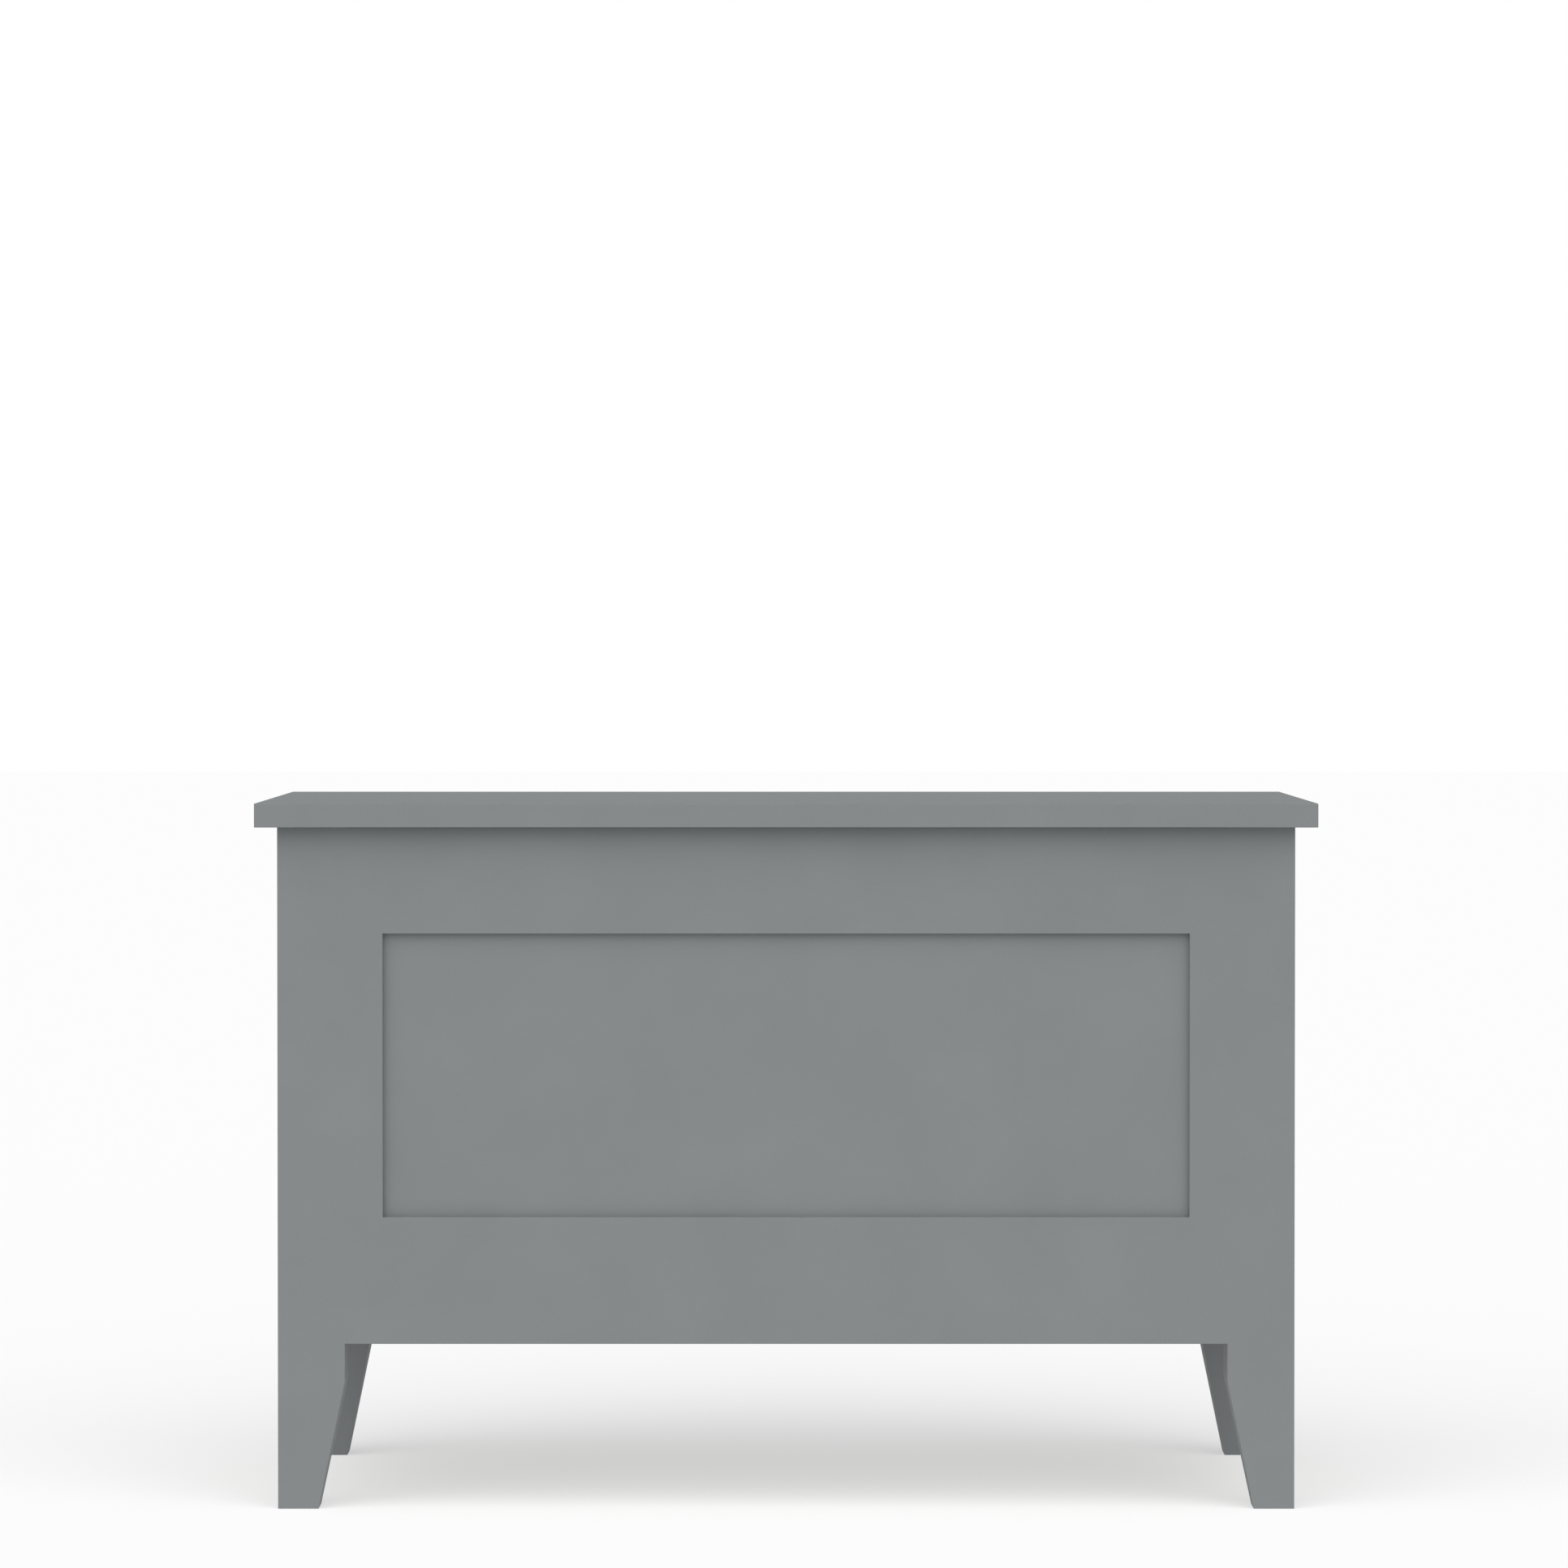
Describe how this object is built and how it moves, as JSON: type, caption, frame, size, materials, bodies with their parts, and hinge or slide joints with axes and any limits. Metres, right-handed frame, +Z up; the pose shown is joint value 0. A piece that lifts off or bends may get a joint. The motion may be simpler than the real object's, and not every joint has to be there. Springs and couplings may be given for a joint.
{
  "type": "toy box",
  "caption": "Painted wooden toy box on tapered legs, with recessed panels and an overhanging lid that is hinged at the back and held open by folding stays.",
  "frame": {"origin": "on the floor, under the middle of the lid", "axes": "+X to the right of someone facing the front, +Y from front to back, +Z up"},
  "size_m": [0.84, 0.42, 0.56],
  "materials": {
    "painted_wood": "eggshell mid-grey paint on wood",
    "plain_wood": "bare beech and birch plywood, lightly sealed",
    "plated_steel": "zinc plated",
    "nylon": "natural white",
    "rubber": "matt"
  },
  "bodies": {
    "box": {"front_left_post": "painted_wood", "front_right_post": "painted_wood", "back_left_post": "painted_wood", "back_right_post": "painted_wood", "front_top_rail": "painted_wood", "front_bottom_rail": "painted_wood", "front_left_stile": "painted_wood", "front_right_stile": "painted_wood", "front_panel": "painted_wood", "left_top_rail": "painted_wood", "left_bottom_rail": "painted_wood", "left_front_stile": "painted_wood", "left_back_stile": "painted_wood", "left_panel": "painted_wood", "right_top_rail": "painted_wood", "right_bottom_rail": "painted_wood", "right_front_stile": "painted_wood", "right_back_stile": "painted_wood", "right_panel": "painted_wood", "back_top_rail": "painted_wood", "back_bottom_rail": "painted_wood", "back_panel": "painted_wood", "floor_panel": "plain_wood", "front_cleat": "plain_wood", "back_cleat": "plain_wood", "left_cleat": "plain_wood", "right_cleat": "plain_wood", "frame_dowels": "plain_wood", "cleat_screws": "plated_steel", "floor_screws": "plated_steel", "lid_bumpers": "rubber", "left_hinge_box_leaf": "plated_steel", "right_hinge_box_leaf": "plated_steel", "hinge_pins": "plated_steel", "hinge_box_screws": "plated_steel", "left_stay_base": "plated_steel", "right_stay_base": "plated_steel", "stay_base_pivots": "plated_steel", "stay_washers": "nylon", "stay_base_screws": "plated_steel"},
    "lid": {"lid_panel": "painted_wood", "left_lid_batten": "painted_wood", "right_lid_batten": "painted_wood", "batten_screws": "plated_steel", "left_hinge_lid_leaf": "plated_steel", "right_hinge_lid_leaf": "plated_steel", "hinge_lid_screws": "plated_steel", "left_stay_lid_bracket": "plated_steel", "right_stay_lid_bracket": "plated_steel", "stay_lid_pins": "plated_steel", "stay_lid_screws": "plated_steel"},
    "left_lever": {"left_stay_lever": "plated_steel", "left_stay_elbow_pin": "plated_steel"},
    "right_lever": {"right_stay_lever": "plated_steel", "right_stay_elbow_pin": "plated_steel"},
    "left_link": {"left_stay_link": "plated_steel"},
    "right_link": {"right_stay_link": "plated_steel"}
  },
  "joints": [
    {"name": "lid_hinge", "type": "hinge", "parent": "box", "child": "lid", "pos_m": [0, 0.1973, 0.5386], "axis": [-1, 0, 0], "range_deg": [0, 95]},
    {"name": "left_stay_lever", "type": "hinge", "parent": "box", "child": "left_lever", "pos_m": [-0.3457, 0.156, 0.4806], "axis": [-1, 0, 0], "range_deg": [0, 95]},
    {"name": "left_stay_link", "type": "hinge", "parent": "lid", "child": "left_link", "pos_m": [-0.3434, 0.0873, 0.5256], "axis": [1, 0, 0], "range_deg": [0, 95]},
    {"name": "right_stay_lever", "type": "hinge", "parent": "box", "child": "right_lever", "pos_m": [0.3457, 0.156, 0.4806], "axis": [-1, 0, 0], "range_deg": [0, 95]},
    {"name": "right_stay_link", "type": "hinge", "parent": "lid", "child": "right_link", "pos_m": [0.3434, 0.0873, 0.5256], "axis": [1, 0, 0], "range_deg": [0, 95]}
  ],
  "couplings": [
    {"joint": "left_stay_lever", "follows": "lid_hinge", "ratio": 1},
    {"joint": "left_stay_link", "follows": "lid_hinge", "ratio": 1},
    {"joint": "right_stay_lever", "follows": "lid_hinge", "ratio": 1},
    {"joint": "right_stay_link", "follows": "lid_hinge", "ratio": 1}
  ]
}
